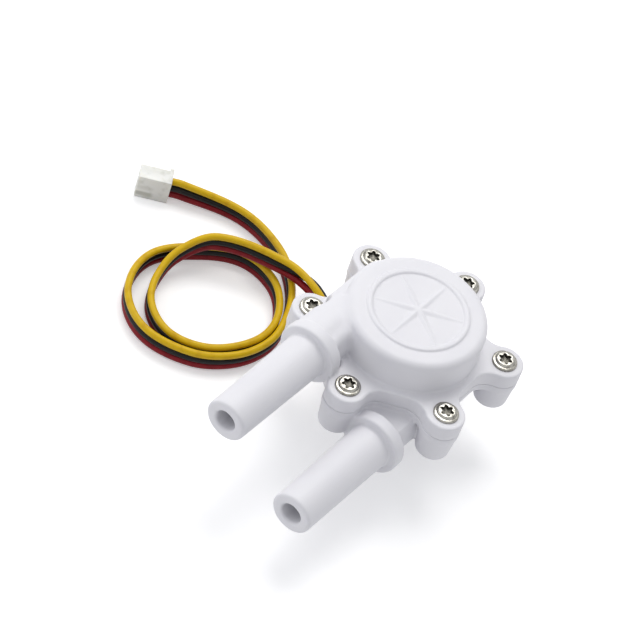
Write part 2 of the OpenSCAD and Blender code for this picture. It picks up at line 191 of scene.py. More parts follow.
class Paint:
    """One material under construction, with its node tree."""

    def __init__(self, name: str) -> None:
        """Starts an empty material.

        Args:
            name: The material's name.
        """
        self.material = bpy.data.materials.new(name)
        self.material.use_nodes = True
        self.tree = self.material.node_tree
        self.tree.nodes.clear()
        self.place = self.node("ShaderNodeTexCoord").outputs["Object"]

    def node(
        self,
        kind: str,
        settings: dict[str, object] | None = None,
        sockets: dict[int | str, object] | None = None,
    ) -> bpy.types.Node:
        """Adds a node of any type.

        Args:
            kind: The node's type.
            settings: Its own settings, which are set before its sockets.
            sockets: Numbers, colours or links for its inputs, by index or name.

        Returns:
            The new node.
        """
        made = self.tree.nodes.new(kind)
        for name, setting in (settings or {}).items():
            setattr(made, name, setting)
        for key, given in (sockets or {}).items():
            source = given.socket if isinstance(given, Value) else given
            if isinstance(source, bpy.types.NodeSocket):
                self.tree.links.new(source, made.inputs[key])
            else:
                made.inputs[key].default_value = source
        return made

    def noise(self, size_mm: float, detail: float = 2.0, stretch: Point = (1, 1, 1)) -> Value:
        """Adds a noise pattern.

        Args:
            size_mm: Rough size of one spot.
            detail: How many finer layers it has.
            stretch: How much closer together the spots lie along each axis.

        Returns:
            The pattern, about 0 to 1.
        """
        placed = self.node(
            "ShaderNodeMapping", {"vector_type": "POINT"}, {"Vector": self.place, "Scale": stretch}
        )
        made = self.node(
            "ShaderNodeTexNoise",
            {"noise_dimensions": "3D"},
            {"Vector": placed.outputs[0], "Scale": 1 / (size_mm * MM), "Detail": detail},
        )
        return Value(self, made.outputs[0])

    def attribute(self, name: str) -> Value:
        """Reads a number that the mesh carries.

        Args:
            name: The attribute's name.

        Returns:
            The number at each point.
        """
        made = self.node("ShaderNodeAttribute", {"attribute_name": name})
        return Value(self, made.outputs["Fac"])

    def axis(self, name: str) -> Value:
        """Gives one object coordinate in millimetres.

        Args:
            name: "X", "Y" or "Z".

        Returns:
            The coordinate.
        """
        made = self.node("ShaderNodeSeparateXYZ", None, {0: self.place})
        return Value(self, made.outputs[name]) * (1 / MM)

    def mix(self, factor: Value, first: object, second: object) -> bpy.types.NodeSocket:
        """Mixes two colours.

        Args:
            factor: The share of the second colour.
            first: A colour or a link.
            second: A colour or a link.

        Returns:
            The mixed colour.
        """
        pair = [(*c, 1.0) if isinstance(c, tuple) else c for c in (first, second)]
        made = self.node(
            "ShaderNodeMix",
            {"data_type": "RGBA", "clamp_factor": True},
            {0: factor, 6: pair[0], 7: pair[1]},
        )
        return made.outputs[2]

    def bump(self, height: Value, depth_mm: float) -> bpy.types.NodeSocket:
        """Turns a height into a normal.

        Args:
            height: The height, 0 to 1.
            depth_mm: How far apart 0 and 1 stand.

        Returns:
            The normal.
        """
        made = self.node(
            "ShaderNodeBump", None, {"Strength": 1.0, "Distance": depth_mm * MM, "Height": height}
        )
        return made.outputs[0]

    def finish(self, sockets: dict[int | str, object]) -> bpy.types.Material:
        """Ends the material in a Principled shader.

        Args:
            sockets: The shader's inputs.

        Returns:
            The finished material.
        """
        shader = self.node("ShaderNodeBsdfPrincipled", None, sockets)
        output = self.node("ShaderNodeOutputMaterial")
        self.tree.links.new(shader.outputs[0], output.inputs[0])
        return self.material


@dataclass(frozen=True)
class MouldedPlastic:
    """Satin moulded plastic: a fine eroded skin, slow flow marks and a little depth."""

    name: str
    colour: Colour
    flow_colour: Colour
    roughness: float = 0.4
    grain_mm: float = 0.16
    grain_depth_mm: float = 0.006
    depth: float = 0.0
    depth_mm: float = 0.6

    def make(self) -> bpy.types.Material:
        """Builds the material."""
        paint = Paint(self.name)
        flow = paint.noise(7.0, 3.0, (1.0, 0.5, 1.4)).band(0.35, 0.7)
        grain = paint.noise(self.grain_mm, 2.0)
        smear = paint.noise(2.2, 4.0)
        return paint.finish(
            {
                "Base Color": paint.mix(flow, self.colour, self.flow_colour),
                "Roughness": grain * 0.08 + smear * 0.08 + (self.roughness - 0.08),
                "Normal": paint.bump(grain * 0.7 + smear * 0.5, self.grain_depth_mm),
                "IOR": 1.5,
                "Subsurface Weight": self.depth,
                "Subsurface Radius": (self.depth_mm, self.depth_mm, self.depth_mm * 1.1),
                "Subsurface Scale": MM,
            }
        )


@dataclass(frozen=True)
class Insulation:
    """Extruded vinyl over a wire: fine lengthwise drag, scuffs and uneven gloss."""

    name: str
    colour: Colour
    worn_colour: Colour
    roughness: float = 0.36

    def make(self) -> bpy.types.Material:
        """Builds the material."""
        paint = Paint(self.name)
        scuff = paint.noise(1.8, 5.0).band(0.45, 0.75)
        drag = paint.noise(0.22, 2.0)
        return paint.finish(
            {
                "Base Color": paint.mix(scuff * 0.7, self.colour, self.worn_colour),
                "Roughness": scuff * 0.14 + drag * 0.08 + self.roughness,
                "Normal": paint.bump(drag, 0.008),
                "IOR": 1.5,
                "Specular IOR Level": 0.22,
            }
        )


@dataclass(frozen=True)
class Metal:
    """Bare or plated metal with fine tool marks."""

    name: str
    colour: Colour
    dull_colour: Colour
    roughness: float = 0.28
    mark_mm: float = 0.12
    mark_stretch: Point = (1, 1, 1)

    def make(self) -> bpy.types.Material:
        """Builds the material."""
        paint = Paint(self.name)
        marks = paint.noise(self.mark_mm, 3.0, self.mark_stretch)
        haze = paint.noise(1.6, 3.0).band(0.4, 0.7)
        return paint.finish(
            {
                "Base Color": paint.mix(haze, self.colour, self.dull_colour),
                "Metallic": 1.0,
                "Roughness": marks * 0.12 + haze * 0.1 + (self.roughness - 0.1),
                "Normal": paint.bump(marks, 0.006),
            }
        )


@dataclass(frozen=True)
class ScrewSteel:
    """Bright plated screw steel, with painted shade in the recess, which its own attribute marks.
    """

    name: str = "screw_steel"
    colour: Colour = (0.38, 0.37, 0.34)
    worn_colour: Colour = (0.16, 0.15, 0.13)
    # Painted shade: the darker colour given to the recess, where shade falls in it.
    recess_shade_colour: Colour = (0.13, 0.125, 0.11)

    def make(self) -> bpy.types.Material:
        """Builds the material."""
        paint = Paint(self.name)
        recess = paint.attribute("recess")
        marks = paint.noise(0.14, 3.0)
        stain = paint.noise(0.7, 3.0).band(0.4, 0.75)
        plated = paint.mix(stain * 0.8, self.colour, self.worn_colour)
        return paint.finish(
            {
                # Painted shade: the recess takes the darker colour.
                "Base Color": paint.mix(recess, plated, self.recess_shade_colour),
                "Metallic": 1.0,
                "Roughness": marks * 0.16 + recess * 0.2 + stain * 0.1 + 0.12,
                "Normal": paint.bump(marks, 0.012),
            }
        )


@dataclass(frozen=True)
class Sintered:
    """Grainy pressed powder, such as ferrite, or a ceramic chip."""

    name: str
    colour: Colour
    speck_colour: Colour
    roughness: float = 0.6
    grain_mm: float = 0.09

    def make(self) -> bpy.types.Material:
        """Builds the material."""
        paint = Paint(self.name)
        grain = paint.noise(self.grain_mm, 4.0)
        return paint.finish(
            {
                "Base Color": paint.mix(grain.band(0.45, 0.7), self.colour, self.speck_colour),
                "Roughness": grain * 0.25 + (self.roughness - 0.12),
                "Normal": paint.bump(grain, 0.015),
            }
        )


@dataclass(frozen=True)
class BoardLaminate:
    """Green solder mask over copper tracks that run across the board."""

    name: str = "board_laminate"
    colour: Colour = (0.012, 0.12, 0.045)
    track_colour: Colour = (0.03, 0.23, 0.08)

    def make(self) -> bpy.types.Material:
        """Builds the material."""
        paint = Paint(self.name)
        wave = paint.node(
            "ShaderNodeTexWave",
            {"wave_type": "BANDS", "bands_direction": "Y"},
            {"Vector": paint.place, "Scale": 260.0, "Distortion": 1.5, "Detail": 1.0},
        )
        track = Value(paint, wave.outputs[1]).band(0.7, 0.8)
        weave = paint.noise(0.25, 1.0)
        return paint.finish(
            {
                "Base Color": paint.mix(track, self.colour, self.track_colour),
                "Roughness": weave * 0.12 + 0.22,
                "Coat Weight": 0.4,
                "Normal": paint.bump(track + weave * 0.2, 0.02),
            }
        )


@dataclass(frozen=True)
class PottingResin:
    """Poured dark epoxy: glossy, slightly wavy, with a few dull patches."""

    name: str = "potting_resin"
    colour: Colour = (0.012, 0.014, 0.015)
    patch_colour: Colour = (0.035, 0.037, 0.04)

    def make(self) -> bpy.types.Material:
        """Builds the material."""
        paint = Paint(self.name)
        wave = paint.noise(3.0, 2.0)
        patch = paint.noise(1.1, 4.0).band(0.5, 0.72)
        return paint.finish(
            {
                "Base Color": paint.mix(patch, self.colour, self.patch_colour),
                "Roughness": patch * 0.3 + 0.12,
                "Coat Weight": 0.5,
                "Normal": paint.bump(wave, 0.12),
            }
        )


@dataclass(frozen=True)
class NaturalNylon:
    """Uncoloured moulded nylon of a plug: milky, darker where it is thin, with painted shade in
    two bands over its cavities.
    """

    name: str = "plug_plastic"
    colour: Colour = (0.74, 0.74, 0.70)
    thin_colour: Colour = (0.50, 0.50, 0.44)
    # Colour of the painted shade over the cavities.
    cavity_shade_colour: Colour = (0.42, 0.42, 0.36)
    # Height and length of the two bands of painted shade over the cavities, in millimetres
    low_rise: Span = (0.45, 1.0)
    low_fall: Span = (1.35, 1.9)
    high_rise: Span = (2.0, 2.6)
    high_fall: Span = (2.8, 3.4)
    long_rise: Span = (-60.9, -59.3)
    long_fall: Span = (-57.4, -56.4)
    cavity_shade_share: float = 0.75
    upper_shade_share: float = 0.35

    def make(self) -> bpy.types.Material:
        """Builds the material."""
        paint = Paint(self.name)
        thin = paint.noise(1.6, 2.0).band(0.45, 0.8)
        grain = paint.noise(0.12, 2.0)
        height = paint.axis("Z")
        low = height.window(self.low_rise, self.low_fall)
        high = height.window(self.high_rise, self.high_fall) * self.upper_shade_share
        inner = paint.axis("X").window(self.long_rise, self.long_fall)
        # Painted shade: two dark bands where the cavities lie inside the plug, with the upper band
        # fainter.
        bands = (low + high) * inner * self.cavity_shade_share
        milky = paint.mix(thin * 0.6, self.colour, self.thin_colour)
        return paint.finish(
            {
                "Base Color": paint.mix(bands, milky, self.cavity_shade_colour),
                "Roughness": grain * 0.1 + 0.27,
                "Normal": paint.bump(grain, 0.004),
                "Subsurface Weight": 0.55,
                "Subsurface Radius": (1.0, 0.95, 0.8),
                "Subsurface Scale": MM,
            }
        )


HOUSING_PLASTIC = MouldedPlastic(
    "housing_plastic", (0.74, 0.735, 0.765), (0.72, 0.715, 0.75), 0.55, depth=0.12
)
ROTOR_PLASTIC = MouldedPlastic(
    "rotor_plastic", (0.78, 0.78, 0.75), (0.74, 0.74, 0.71), 0.5, 0.2, 0.008, 0.08
)
WASHER_PLASTIC = MouldedPlastic(
    "washer_plastic", (0.62, 0.54, 0.36), (0.55, 0.47, 0.30), 0.45, 0.1, 0.004
)
SEAL_RUBBER = MouldedPlastic(
    "seal_rubber", (0.018, 0.018, 0.019), (0.028, 0.028, 0.03), 0.62, 0.1, 0.012
)
CHIP_EPOXY = MouldedPlastic(
    "chip_epoxy", (0.02, 0.02, 0.021), (0.03, 0.03, 0.031), 0.55, 0.06, 0.008
)
SHAFT_STEEL = Metal(
    "shaft_steel", (0.66, 0.66, 0.66), (0.55, 0.55, 0.55), 0.2, 0.08, (0.2, 0.2, 3.0)
)
TIN_PLATE = Metal("tin_plate", (0.66, 0.65, 0.62), (0.5, 0.49, 0.46), 0.32, 0.1)
COPPER = Metal("copper", (0.75, 0.34, 0.18), (0.55, 0.23, 0.11), 0.34, 0.07, (2.0, 2.0, 0.3))
MAGNET_FERRITE = Sintered("magnet_ferrite", (0.035, 0.033, 0.032), (0.075, 0.07, 0.068))
CERAMIC = Sintered("ceramic", (0.34, 0.22, 0.11), (0.40, 0.28, 0.15), 0.5, 0.05)
YELLOW_VINYL = Insulation("yellow_insulation", (0.62, 0.40, 0.003), (0.50, 0.28, 0.003))
BLACK_VINYL = Insulation("black_insulation", (0.004, 0.004, 0.004), (0.014, 0.011, 0.010))
RED_VINYL = Insulation("red_insulation", (0.23, 0.006, 0.012), (0.15, 0.004, 0.008))


class Workshop:
    """The frame and what is shared by all sub-assemblies."""

    def __init__(self) -> None:
        """Loads the frame and notes the CAD model's box."""
        self.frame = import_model()
        self.cad_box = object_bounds()
        self.materials: dict[str, bpy.types.Material] = {}

    def material(self, finish: object) -> bpy.types.Material:
        """Makes each finish once.

        Args:
            finish: One of the finish classes' objects.

        Returns:
            Its material.
        """
        if finish.name not in self.materials:
            self.materials[finish.name] = finish.make()
        return self.materials[finish.name]

    def dress(self, node: str, finish: object) -> None:
        """Gives a carried-over CAD node its finish.

        Args:
            node: The node's name.
            finish: Its finish.
        """
        shown = self.frame["nodes"][node]
        made = self.material(finish)
        if not shown.material_slots:
            shown.data.materials.append(made)
        for place in shown.material_slots:
            place.material = made
        LOG.info("dressed %s in %s", node, finish.name)

    def dress_all(self, finishes: dict[str, object]) -> None:
        """Gives several CAD nodes their finishes.

        Args:
            finishes: Each node's finish.
        """
        for node, finish in finishes.items():
            self.dress(node, finish)

    def merged_copy(self, node: str) -> bmesh.types.BMesh:
        """Copies a CAD node's mesh and joins its loose triangles.

        Args:
            node: The node's name.

        Returns:
            The merged mesh, in metres.
        """
        copy = bmesh.new()
        copy.from_mesh(self.frame["nodes"][node].data)
        bmesh.ops.remove_doubles(copy, verts=copy.verts[:], dist=0.0005 * MM)
        return copy

    def place(
        self,
        name: str,
        shape: bmesh.types.BMesh,
        finish: object,
        body: Body,
        sharp_deg: float = 40.0,
    ) -> bpy.types.Object:
        """Turns a bmesh into a piece at the origin.

        Args:
            name: The piece's name.
            shape: Its shape, in metres, which is freed.
            finish: Its finish.
            body: The body that it rides on.
            sharp_deg: Edges that turn more than this stay sharp in shading.

        Returns:
            The piece.
        """
        mesh = bpy.data.meshes.new(name)
        shape.to_mesh(mesh)
        shape.free()
        return self.place_mesh(name, mesh, finish, body, sharp_deg)

    def place_mesh(
        self,
        name: str,
        mesh: bpy.types.Mesh,
        finish: object,
        body: Body,
        sharp_deg: float = 40.0,
    ) -> bpy.types.Object:
        """Turns a mesh into a piece at the origin.

        Args:
            name: The piece's name.
            mesh: Its mesh, in metres.
            finish: Its finish.
            body: The body that it rides on.
            sharp_deg: Edges that turn more than this stay sharp in shading.

        Returns:
            The piece.
        """
        mesh.shade_smooth()
        if sharp_deg < 180:
            mesh.set_sharp_from_angle(angle=math.radians(sharp_deg))
        mesh.materials.clear()
        mesh.materials.append(self.material(finish))
        piece = bpy.data.objects.new(name, mesh)
        bpy.context.scene.collection.objects.link(piece)
        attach(piece, body.value)
        LOG.info("made %s: %d faces", name, len(mesh.polygons))
        return piece

    @staticmethod
    def baked(name: str, piece: bpy.types.Object) -> bpy.types.Mesh:
        """Applies an object's modifiers and removes the object.

        Args:
            name: Name of the resulting mesh.
            piece: The object.

        Returns:
            The mesh with the modifiers in it.
        """
        bpy.context.view_layer.update()
        graph = bpy.context.evaluated_depsgraph_get()
        mesh = bpy.data.meshes.new_from_object(piece.evaluated_get(graph), depsgraph=graph)
        mesh.name = name
        old = piece.data
        bpy.data.objects.remove(piece)
        bpy.data.meshes.remove(old)
        return mesh


@dataclass
class Studio:
    """Camera at the photograph's angle, soft lamps and a white floor."""

    azimuth: float = 23.51
    elevation: float = 47.69
    roll: float = 20.43
    lens: float = 165.0
    distance: float = 490.0
    target: Point = (0.0, 0.0, 20.0)
    # Where the target stands off the picture's middle, to the right and up
    aside: Span = (15.0, -1.94)
    lamp_target: Point = (0.0, -8.0, 12.0)
    floor_size: float = 2400.0
    floor_colour: Colour = (0.86, 0.86, 0.86)
    floor_tone: Colour = (0.85, 0.85, 0.86)
    floor_glow: float = 0.3
    fill_colour: Colour = (0.96, 0.97, 1.0)
    world_strength: float = 0.61

    def camera(self) -> None:
        """Places the camera."""
        turn, rise, roll = (math.radians(a) for a in (self.azimuth, self.elevation, self.roll))
        back = Vector(
            (math.sin(turn) * math.cos(rise), -math.cos(turn) * math.cos(rise), math.sin(rise))
        )
        level = Vector((math.cos(turn), math.sin(turn), 0.0))
        upright = back.cross(level)
        right = math.cos(roll) * level + math.sin(roll) * upright
        up = math.cos(roll) * upright - math.sin(roll) * level
        spot = Vector(self.target) + back * self.distance
        spot -= right * self.aside[0] + up * self.aside[1]
        data = bpy.data.cameras.new("camera")
        data.lens = self.lens
        data.sensor_width = 36.0
        data.clip_start, data.clip_end = 0.01, 10.0
        made = bpy.data.objects.new("camera", data)
        turned = Matrix((right, up, back)).transposed()
        made.matrix_world = Matrix.Translation(spot * MM) @ turned.to_4x4()
        bpy.context.scene.collection.objects.link(made)
        bpy.context.scene.camera = made

    def lamp(self, name: str, spot: Point, size: float, watts: float, colour: Colour) -> None:
        """Adds a square lamp that faces the sensor.

        Args:
            name: The lamp's name.
            spot: Its place.
            size: Length of its side.
            watts: Its power.
            colour: Its colour.
        """
        data = bpy.data.lights.new(name, "AREA")
        data.shape = "SQUARE"
        data.size = size * MM
        data.energy = watts
        data.color = colour
        made = bpy.data.objects.new(name, data)
        made.location = Vector(spot) * MM
        aim = Vector(self.lamp_target) * MM - made.location
        made.rotation_euler = aim.to_track_quat("-Z", "Y").to_euler()
        bpy.context.scene.collection.objects.link(made)

    def floor(self) -> None:
        """Lays the floor, which reads as white and still keeps the shadow."""
        paint = Paint("studio_floor")
        tone = paint.noise(60.0, 2.0)
        path = paint.node("ShaderNodeLightPath")
        camera = Value(paint, path.outputs["Is Camera Ray"])
        seen = camera + Value(paint, path.outputs["Is Glossy Ray"])
        surface = paint.node(
            "ShaderNodeBsdfPrincipled",
            None,
            {
                "Base Color": paint.mix(tone, self.floor_colour, self.floor_tone),
                "Roughness": 0.9,
                "Specular IOR Level": 0.0,
            },
        )
        glow = paint.node("ShaderNodeEmission", None, {"Color": (1, 1, 1, 1)})
        paint.tree.links.new((seen * self.floor_glow).socket, glow.inputs["Strength"])
        both = paint.node("ShaderNodeAddShader", None, {0: surface.outputs[0], 1: glow.outputs[0]})
        output = paint.node("ShaderNodeOutputMaterial")
        paint.tree.links.new(both.outputs[0], output.inputs[0])
        sheet = bmesh.new()
        bmesh.ops.create_grid(sheet, x_segments=1, y_segments=1, size=self.floor_size * MM / 2)
        mesh = bpy.data.meshes.new("studio_floor")
        sheet.to_mesh(mesh)
        sheet.free()
        mesh.materials.append(paint.material)
        floor = bpy.data.objects.new("studio_floor", mesh)
        bpy.context.scene.collection.objects.link(floor)
        floor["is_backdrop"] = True

    def world(self) -> None:
        """Fills the surroundings with even light and a white backdrop."""
        world = bpy.data.worlds.new("studio_world")
        world.use_nodes = True
        tree = world.node_tree
        tree.nodes.clear()
        path = tree.nodes.new("ShaderNodeLightPath")
        fill = tree.nodes.new("ShaderNodeBackground")
        fill.inputs[0].default_value = (*self.fill_colour, 1.0)
        fill.inputs[1].default_value = self.world_strength
        white = tree.nodes.new("ShaderNodeBackground")
        white.inputs[0].default_value = (1, 1, 1, 1)
        white.inputs[1].default_value = 1.0
        mix = tree.nodes.new("ShaderNodeMixShader")
        output = tree.nodes.new("ShaderNodeOutputWorld")
        seen = tree.nodes.new("ShaderNodeMath")
        seen.operation = "MAXIMUM"
        tree.links.new(path.outputs["Is Camera Ray"], seen.inputs[0])
        tree.links.new(path.outputs["Is Glossy Ray"], seen.inputs[1])
        tree.links.new(seen.outputs[0], mix.inputs[0])
        tree.links.new(fill.outputs[0], mix.inputs[1])
        tree.links.new(white.outputs[0], mix.inputs[2])
        tree.links.new(mix.outputs[0], output.inputs[0])
        bpy.context.scene.world = world

    def build(self) -> None:
        """Sets up the whole studio."""
        self.camera()
        self.world()
        self.floor()
        self.lamp("key_lamp", (-220.0, 300.0, 700.0), 420.0, 3.0, (1.0, 0.99, 0.97))
        self.lamp("side_lamp", (-520.0, -260.0, 380.0), 360.0, 0.9, (0.97, 0.98, 1.0))
        bpy.context.scene.view_settings.view_transform = "Standard"
        LOG.info("studio ready")


@dataclass
class Lead:
    """Three stacked wires that leave the pocket, loop once and a half, and end in a plug."""

    shop: Workshop
    wire_r: float = 0.65
    wire_gap: float = 0.02
    table_low_z: float = 0.70
    pocket_low_z: float = 0.90
    wire_y: float = 3.0
    wall_x: float = -8.0
    wire_free: float = 1.5
    tail_x: tuple[float, float, float] = (0.201, -1.806, -3.814)
    tail_r: float = 0.3
    plug_at: Span = (-55.3, 7.0)
    plug_turn: float = 213.0
    plug_h: float = 5.2
    contact_pitch: float = 1.6
    wire_grip: float = 1.2
    lead_in: float = 2.0
    edge_round: float = 0.11
    # How far each wire is aside of the lead where it has left the pocket, red first
    spread: tuple[float, float, float] = (0.5, 1.4, 0.0)
    # Place on the table, and how far the wires are lifted there
    route: tuple[Point, ...] = (
        (-21.5, 5.5, 3.9), (-28.5, 6.0, 4.1), (-40.0, 1.0, 4.1), (-43.5, -5.0, 1.8),
        (-43.0, -11.0, 0.0), (-39.5, -16.5, 0.0), (-33.5, -19.0, 0.0), (-27.5, -17.0, 0.0),
        (-23.5, -12.0, 0.0), (-22.0, -6.0, 0.0), (-24.0, 0.0, 0.0), (-29.0, 4.5, 0.0),
        (-36.0, 5.0, 0.0), (-42.0, 0.5, 0.0), (-47.0, -8.0, 0.0), (-44.5, -17.0, 0.0),
        (-37.0, -21.5, 0.0), (-28.0, -19.5, 0.0), (-22.5, -14.0, 0.0), (-20.5, -7.0, 0.0),
        (-22.0, -0.5, 0.0), (-26.0, 6.0, 0.0), (-33.0, 11.0, 0.0), (-43.0, 12.5, 0.0),
    )

    def points(self, index: int) -> list[Vector]:
        """Gives the points that one wire passes through.

        Args:
            index: 0 for the lowest wire, 2 for the highest.

        Returns:
            The points, in metres.
        """
        rise = index * (2 * self.wire_r + self.wire_gap)
        z = self.table_low_z + rise
        pocket_z = self.pocket_low_z + rise
        turn = math.radians(self.plug_turn)
        along = Vector((math.cos(turn), math.sin(turn), 0.0))
        seat_z = self.plug_h / 2 + (index - 1) * self.contact_pitch
        door = Vector((*self.plug_at, seat_z))
        stops = [
            Vector((self.tail_x[index] - self.tail_r, self.wire_y, pocket_z)),
            Vector((self.wall_x - self.wire_free, self.wire_y, pocket_z)),
        ]
        for step, (x, y, lift) in enumerate(self.route):
            stops.append(Vector((x, y + (self.spread[index] if step == 0 else 0.0), z + lift)))
        stops += [door - along * self.lead_in, door + along * self.wire_grip]
        return [stop * MM for stop in stops]

    def bend(self, spline: bpy.types.Spline, stops: list[Vector]) -> None:
        """Runs a curve smoothly through the points, level where the wire lies flat.

        Args:
            spline: The curve, with as many knots as there are points.
            stops: The points, in metres.
        """
        flat = {0, 1} | {step + 2 for step, point in enumerate(self.route) if point[2] == 0}
        for place, (knot, stop) in enumerate(zip(spline.bezier_points, stops)):
            before, after = stops[max(place - 1, 0)], stops[min(place + 1, len(stops) - 1)]
            along = (after - before).normalized()
            if place in flat:
                along = Vector((along.x, along.y, 0.0)).normalized()
            knot.handle_left_type = knot.handle_right_type = "FREE"
            knot.co = stop
            knot.handle_left = stop - along * ((stop - before).length / 3)
            knot.handle_right = stop + along * ((after - stop).length / 3)

    def wire(self, name: str, index: int, finish: object) -> None:
        """Args:
            name: The CAD node that it stands for.
            index: 0 for the lowest wire, 2 for the highest.
            finish: Its finish.
        """
        stops = self.points(index)
        curve = bpy.data.curves.new(f"{name}_cord", "CURVE")
        curve.dimensions = "3D"
        curve.bevel_depth = self.wire_r * MM
        curve.bevel_resolution = 5
        curve.resolution_u = 10
        curve.use_fill_caps = True
        spline = curve.splines.new("BEZIER")
        spline.bezier_points.add(len(stops) - 1)
        self.bend(spline, stops)
        curve.materials.append(self.shop.material(finish))
        piece = bpy.data.objects.new(f"{name}_cord", curve)
        bpy.context.scene.collection.objects.link(piece)
        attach(piece, Body.HOUSING.value)
        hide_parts(name)
        length = sum((b - a).length for a, b in zip(stops, stops[1:]))
        LOG.info("made %s_cord: %.1f mm", name, length / MM)

    def plug(self) -> bpy.types.Object:
        """Makes the plug's housing with soft moulded edges.

        Returns:
            The piece.
        """
        shape = self.shop.merged_copy("plug_housing")
        bmesh.ops.dissolve_limit(
            shape, angle_limit=math.radians(1.0), verts=shape.verts[:], edges=shape.edges[:]
        )
        corners = [e for e in shape.edges if e.is_manifold and e.calc_face_angle(0.0) > 0.5]
        bmesh.ops.bevel(
            shape,
            geom=corners,
            offset=self.edge_round * MM,
            offset_type="OFFSET",
            segments=2,
            profile=0.5,
            affect="EDGES",
            material=-1,
            clamp_overlap=True,
        )
        piece = self.shop.place("plug_shell", shape, NaturalNylon(), Body.HOUSING, 60.0)
        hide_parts("plug_housing")
        return piece

    def build(self) -> None:
        """Makes the three wires and dresses the plug."""
        shell = self.plug()
        self.shop.dress("plug_contacts", TIN_PLATE)
        self.wire("red_wire", 0, RED_VINYL)
        self.wire("black_wire", 1, BLACK_VINYL)
        self.wire("yellow_wire", 2, YELLOW_VINYL)


@dataclass
class Housing:
    """Cover and body, with the soft edges and blends of real mouldings."""

    shop: Workshop
    voxel: float = 0.2
    keep: float = 0.57
    smooth_rounds: int = 5
    top_z: float = 25.7
    relief: float = 0.3
    ring_in: float = 7.8
    ring_out: float = 8.95
    ring_slope: float = 0.22
    star_reach: float = 7.6
    star_root_half: float = 0.8
    star_tip_half: float = 0.3
    # Angle of the star's first rib and from rib to rib, in degrees
    rib_first: float = 30.0
    rib_step: float = 60.0
    # A rib's height at the hub, its fall to the tip and its rise to the crest, as shares
    rib_high: float = 0.95
    rib_fall: float = 0.75
    rib_crest: float = 1.3
    # How thick the skin is that takes the relief, and how far past the ring it goes
    skin: float = 0.12
    ring_margin: float = 0.6
    # Where the inlet's duct is blended into the dome, and how soon the blend fades out
    shell_r: float = 12.2
    blend_x: Span = (-11.5, -5.4)
    blend_z: Span = (23.2, 25.4)
    blend_reach: float = 2.4
    blend_fade_x: float = 1.2
    blend_fade_z: float = 0.6
    blend_gain: float = 1.5
    blend_factor: float = 0.7
    blend_rounds: int = 120
    # Middle and half size of the duct's flank below its shoulder
    flank: Point = (-5.6, -12.6, 22.4)
    flank_half: Point = (2.2, 2.6, 2.2)
    # Small sink mark on top of the inlet duct
    mark_at: Span = (-10.7, -6.0)
    mark_r: float = 0.75
    mark_depth: float = 0.14

    def soft_copy(self, node: str) -> bpy.types.Mesh:
        """Remeshes a moulding evenly and rounds its edges.

        Args:
            node: The CAD node.

        Returns:
            The softened mesh.
        """
        shape = self.shop.merged_copy(node)
        mesh = bpy.data.meshes.new(f"{node}_soft")
        shape.to_mesh(mesh)
        shape.free()
        work = bpy.data.objects.new(f"{node}_soft", mesh)
        bpy.context.scene.collection.objects.link(work)
        remesh = work.modifiers.new("even_skin", "REMESH")
        remesh.mode = "VOXEL"
        remesh.voxel_size = self.voxel * MM
        remesh.adaptivity = 0.0
        soften = work.modifiers.new("soft_edges", "SMOOTH")
        soften.factor = 0.5
        soften.iterations = self.smooth_rounds
        return self.shop.baked(f"{node}_moulding", work)

    def blend_duct(self, mesh: bpy.types.Mesh) -> bpy.types.Mesh:
        """Fills the crease between the inlet duct and the dome.

        Args:
            mesh: The cover's mesh.

        Returns:
            The mesh with the crease filled.
        """
        work = bpy.data.objects.new("duct_blend", mesh)
        bpy.context.scene.collection.objects.link(work)
        group = work.vertex_groups.new(name="crease")
        for vert in mesh.vertices:
            x, y, z = vert.co / MM
            if y > 0:
                continue
            off = abs(math.hypot(x, y) - self.shell_r) / self.blend_reach
            low = max(self.blend_z[0] - z, z - self.blend_z[1], 0.0)
            edge = min(x - self.blend_x[0], self.blend_x[1] - x) / self.blend_fade_x
            weight = min(1.0 - off, 1.0 - low / self.blend_fade_z, edge)
            inside = min(
                1.0 - abs(at - middle) / half
                for at, middle, half in zip((x, y, z), self.flank, self.flank_half)
            )
            weight = max(weight, inside * self.blend_gain)
            if weight > 0:
                group.add([vert.index], min(weight * self.blend_gain, 1.0), "REPLACE")
        fill = work.modifiers.new("fill_crease", "SMOOTH")
        fill.factor = self.blend_factor
        fill.iterations = self.blend_rounds
        fill.vertex_group = "crease"
        return self.shop.baked(mesh.name, work)

    def lighter(self, name: str, mesh: bpy.types.Mesh) -> bpy.types.Mesh:
        """Thins out a mesh where it is flat.

        Args:
            name: The resulting mesh's name.
            mesh: The dense mesh.

        Returns:
            The thinned mesh.
        """
        work = bpy.data.objects.new(name, mesh)
        bpy.context.scene.collection.objects.link(work)
        thin = work.modifiers.new("thin_out", "DECIMATE")
        thin.ratio = self.keep
        return self.shop.baked(name, work)

    def relief_at(self, x: float, y: float) -> float:
        """Gives the height of the dome's relief.

        Args:
            x: Place on the dome, in millimetres.
            y: Place on the dome, in millimetres.

        Returns:
            Height above the dome's plain top, in millimetres.
        """
        radius = math.hypot(x, y)
        inner = min(max((radius - self.ring_in) / self.ring_slope, 0.0), 1.0)
        outer = min(max((self.ring_out - radius) / self.ring_slope, 0.0), 1.0)
        ring = self.relief * min(inner, outer)
        if radius >= self.star_reach:
            return ring
        angle = math.degrees(math.atan2(y, x)) - self.rib_first
        off = abs((angle + self.rib_step / 2) % self.rib_step - self.rib_step / 2)
        across = radius * math.sin(math.radians(off))
        share = radius / self.star_reach
        half = self.star_root_half + (self.star_tip_half - self.star_root_half) * share
        height = self.relief * (self.rib_high - self.rib_fall * share)
        rib = height * max(1.0 - across / half, 0.0) * self.rib_crest
        return max(ring, min(rib, self.relief))

